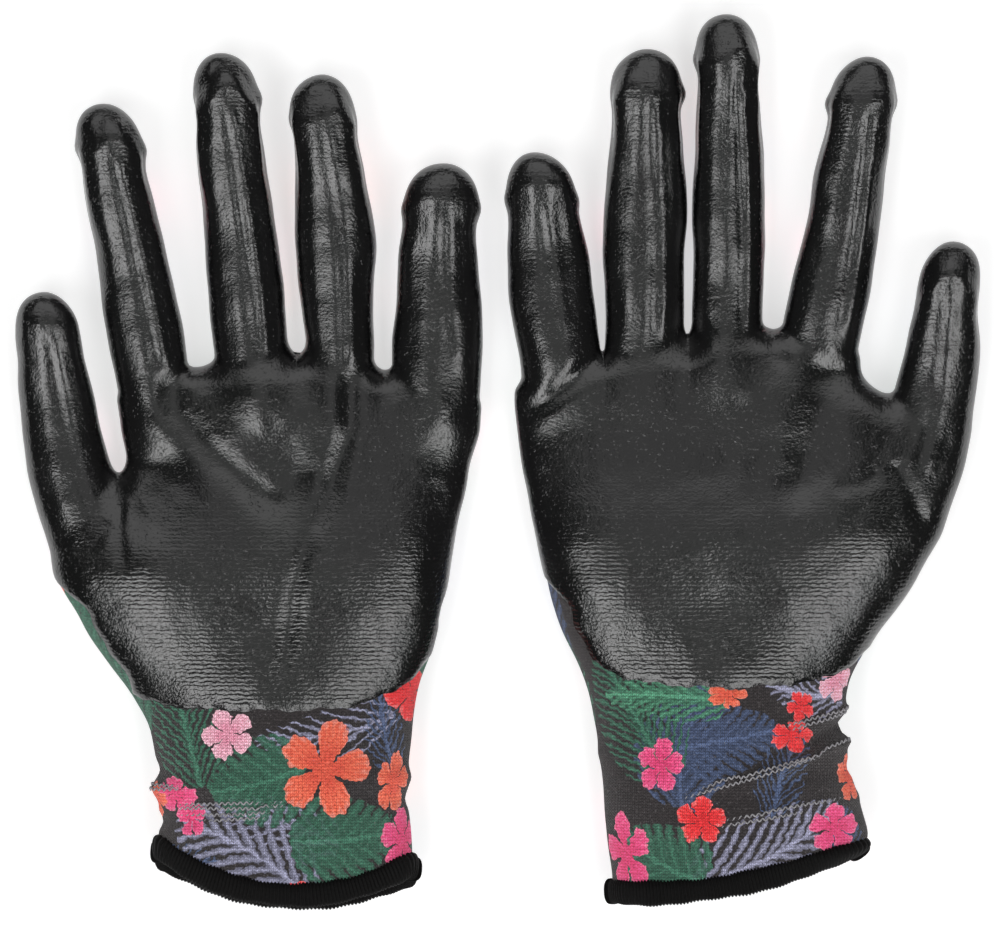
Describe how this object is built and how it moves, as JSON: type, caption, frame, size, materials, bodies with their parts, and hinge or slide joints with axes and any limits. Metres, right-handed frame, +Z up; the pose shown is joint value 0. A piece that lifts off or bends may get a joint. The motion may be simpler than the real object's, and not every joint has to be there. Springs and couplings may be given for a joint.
{
  "type": "gardening gloves",
  "caption": "Knitted gardening gloves with glossy dipped palms and fingertips, printed knit backs and elastic cuffs with an overlocked hem.",
  "frame": {"origin": "on the surface that the gloves lie on, below the middle of the pair's box", "axes": "+X from the left-hand glove to the right-hand one, +Y from the cuffs to the fingertips, +Z up out of the palms"},
  "size_m": [0.2651, 0.2467, 0.0265],
  "materials": {
    "nitrile_coat": "gloss",
    "printed_knit": "matt",
    "hem_thread": "matt",
    "elastic_thread": "matt"
  },
  "bodies": {
    "left_palm": {"left_palm_liner": "printed_knit", "left_palm_coat": "nitrile_coat"},
    "left_cuff": {"left_cuff_liner": "printed_knit", "left_cuff_elastic": "elastic_thread", "left_hem_overlock": "hem_thread"},
    "left_thumb_lower": {"left_thumb_lower_liner": "printed_knit", "left_thumb_lower_coat": "nitrile_coat"},
    "left_thumb_tip": {"left_thumb_tip_liner": "printed_knit", "left_thumb_tip_coat": "nitrile_coat"},
    "left_index_lower": {"left_index_lower_liner": "printed_knit", "left_index_lower_coat": "nitrile_coat"},
    "left_index_tip": {"left_index_tip_liner": "printed_knit", "left_index_tip_coat": "nitrile_coat"},
    "left_middle_lower": {"left_middle_lower_liner": "printed_knit", "left_middle_lower_coat": "nitrile_coat"},
    "left_middle_tip": {"left_middle_tip_liner": "printed_knit", "left_middle_tip_coat": "nitrile_coat"},
    "left_ring_lower": {"left_ring_lower_liner": "printed_knit", "left_ring_lower_coat": "nitrile_coat"},
    "left_ring_tip": {"left_ring_tip_liner": "printed_knit", "left_ring_tip_coat": "nitrile_coat"},
    "left_little_lower": {"left_little_lower_liner": "printed_knit", "left_little_lower_coat": "nitrile_coat"},
    "left_little_tip": {"left_little_tip_liner": "printed_knit", "left_little_tip_coat": "nitrile_coat"},
    "right_palm": {"right_palm_liner": "printed_knit", "right_palm_coat": "nitrile_coat"},
    "right_cuff": {"right_cuff_liner": "printed_knit", "right_cuff_elastic": "elastic_thread", "right_hem_overlock": "hem_thread"},
    "right_thumb_lower": {"right_thumb_lower_liner": "printed_knit", "right_thumb_lower_coat": "nitrile_coat"},
    "right_thumb_tip": {"right_thumb_tip_liner": "printed_knit", "right_thumb_tip_coat": "nitrile_coat"},
    "right_index_lower": {"right_index_lower_liner": "printed_knit", "right_index_lower_coat": "nitrile_coat"},
    "right_index_tip": {"right_index_tip_liner": "printed_knit", "right_index_tip_coat": "nitrile_coat"},
    "right_middle_lower": {"right_middle_lower_liner": "printed_knit", "right_middle_lower_coat": "nitrile_coat"},
    "right_middle_tip": {"right_middle_tip_liner": "printed_knit", "right_middle_tip_coat": "nitrile_coat"},
    "right_ring_lower": {"right_ring_lower_liner": "printed_knit", "right_ring_lower_coat": "nitrile_coat"},
    "right_ring_tip": {"right_ring_tip_liner": "printed_knit", "right_ring_tip_coat": "nitrile_coat"},
    "right_little_lower": {"right_little_lower_liner": "printed_knit", "right_little_lower_coat": "nitrile_coat"},
    "right_little_tip": {"right_little_tip_liner": "printed_knit", "right_little_tip_coat": "nitrile_coat"}
  },
  "joints": [
    {"name": "left_wrist_bend", "type": "hinge", "parent": "left_palm", "child": "left_cuff", "pos_m": [-0.059, -0.077, 0.013], "axis": [-1, 0, 0], "range_deg": [-30, 30], "stiffness_Nm_per_rad": 0.1},
    {"name": "left_thumb_knuckle_bend", "type": "hinge", "parent": "left_palm", "child": "left_thumb_lower", "pos_m": [-0.1178, -0.006, 0.00865], "axis": [0.9662, 0.2578, 0], "range_deg": [-10, 60], "stiffness_Nm_per_rad": 0.05},
    {"name": "left_thumb_mid_bend", "type": "hinge", "parent": "left_thumb_lower", "child": "left_thumb_tip", "pos_m": [-0.1222, 0.02, 0.00965], "axis": [0.9888, 0.1495, 0], "range_deg": [-10, 75], "stiffness_Nm_per_rad": 0.03},
    {"name": "left_index_knuckle_bend", "type": "hinge", "parent": "left_palm", "child": "left_index_lower", "pos_m": [-0.0973, 0.034, 0.00865], "axis": [0.9837, 0.1796, 0], "range_deg": [-10, 75], "stiffness_Nm_per_rad": 0.05},
    {"name": "left_index_mid_bend", "type": "hinge", "parent": "left_index_lower", "child": "left_index_tip", "pos_m": [-0.1015, 0.057, 0.00965], "axis": [0.9838, 0.1791, 0], "range_deg": [-10, 85], "stiffness_Nm_per_rad": 0.03},
    {"name": "left_middle_knuckle_bend", "type": "hinge", "parent": "left_palm", "child": "left_middle_lower", "pos_m": [-0.0688, 0.037, 0.00865], "axis": [0.9947, 0.1029, 0], "range_deg": [-10, 75], "stiffness_Nm_per_rad": 0.05},
    {"name": "left_middle_mid_bend", "type": "hinge", "parent": "left_middle_lower", "child": "left_middle_tip", "pos_m": [-0.0718, 0.066, 0.00965], "axis": [0.9947, 0.1026, 0], "range_deg": [-10, 85], "stiffness_Nm_per_rad": 0.03},
    {"name": "left_ring_knuckle_bend", "type": "hinge", "parent": "left_palm", "child": "left_ring_lower", "pos_m": [-0.0443, 0.036, 0.00865], "axis": [0.9994, 0.0346, 0], "range_deg": [-10, 75], "stiffness_Nm_per_rad": 0.05},
    {"name": "left_ring_mid_bend", "type": "hinge", "parent": "left_ring_lower", "child": "left_ring_tip", "pos_m": [-0.0452, 0.062, 0.00965], "axis": [0.9979, 0.0642, 0], "range_deg": [-10, 85], "stiffness_Nm_per_rad": 0.03},
    {"name": "left_little_knuckle_bend", "type": "hinge", "parent": "left_palm", "child": "left_little_lower", "pos_m": [-0.0172, 0.035, 0.00865], "axis": [0.9999, -0.015, 0], "range_deg": [-10, 75], "stiffness_Nm_per_rad": 0.05},
    {"name": "left_little_mid_bend", "type": "hinge", "parent": "left_little_lower", "child": "left_little_tip", "pos_m": [-0.0169, 0.055, 0.00965], "axis": [0.9996, -0.0297, 0], "range_deg": [-10, 85], "stiffness_Nm_per_rad": 0.03},
    {"name": "right_glove_lift", "type": "slide", "parent": "left_palm", "child": "right_palm", "axis": [0, 0, 1], "range_m": [0, 0.05]},
    {"name": "right_wrist_bend", "type": "hinge", "parent": "right_palm", "child": "right_cuff", "pos_m": [0.0605, -0.077, 0.013], "axis": [-1, 0, 0], "range_deg": [-30, 30], "stiffness_Nm_per_rad": 0.1},
    {"name": "right_thumb_knuckle_bend", "type": "hinge", "parent": "right_palm", "child": "right_thumb_lower", "pos_m": [0.1172, 0.005, 0.00865], "axis": [0.96, -0.2801, 0], "range_deg": [-10, 60], "stiffness_Nm_per_rad": 0.05},
    {"name": "right_thumb_mid_bend", "type": "hinge", "parent": "right_thumb_lower", "child": "right_thumb_tip", "pos_m": [0.1214, 0.03, 0.00965], "axis": [0.9912, -0.1327, 0], "range_deg": [-10, 75], "stiffness_Nm_per_rad": 0.03},
    {"name": "right_index_knuckle_bend", "type": "hinge", "parent": "right_palm", "child": "right_index_lower", "pos_m": [0.0903, 0.045, 0.00865], "axis": [0.9829, -0.1843, 0], "range_deg": [-10, 75], "stiffness_Nm_per_rad": 0.05},
    {"name": "right_index_mid_bend", "type": "hinge", "parent": "right_index_lower", "child": "right_index_tip", "pos_m": [0.0948, 0.069, 0.00965], "axis": [0.9866, -0.1633, 0], "range_deg": [-10, 85], "stiffness_Nm_per_rad": 0.03},
    {"name": "right_middle_knuckle_bend", "type": "hinge", "parent": "right_palm", "child": "right_middle_lower", "pos_m": [0.0626, 0.045, 0.00865], "axis": [0.9999, -0.0167, 0], "range_deg": [-10, 75], "stiffness_Nm_per_rad": 0.05},
    {"name": "right_middle_mid_bend", "type": "hinge", "parent": "right_middle_lower", "child": "right_middle_tip", "pos_m": [0.0631, 0.075, 0.00965], "axis": [1, 0.0011, 0], "range_deg": [-10, 85], "stiffness_Nm_per_rad": 0.03},
    {"name": "right_ring_knuckle_bend", "type": "hinge", "parent": "right_palm", "child": "right_ring_lower", "pos_m": [0.0396, 0.042, 0.00865], "axis": [0.9999, -0.0107, 0], "range_deg": [-10, 75], "stiffness_Nm_per_rad": 0.05},
    {"name": "right_ring_mid_bend", "type": "hinge", "parent": "right_ring_lower", "child": "right_ring_tip", "pos_m": [0.0399, 0.07, 0.00965], "axis": [0.9999, -0.0129, 0], "range_deg": [-10, 85], "stiffness_Nm_per_rad": 0.03},
    {"name": "right_little_knuckle_bend", "type": "hinge", "parent": "right_palm", "child": "right_little_lower", "pos_m": [0.0148, 0.042, 0.00865], "axis": [0.994, 0.1093, 0], "range_deg": [-10, 75], "stiffness_Nm_per_rad": 0.05},
    {"name": "right_little_mid_bend", "type": "hinge", "parent": "right_little_lower", "child": "right_little_tip", "pos_m": [0.0126, 0.062, 0.00965], "axis": [0.9938, 0.1114, 0], "range_deg": [-10, 85], "stiffness_Nm_per_rad": 0.03}
  ]
}
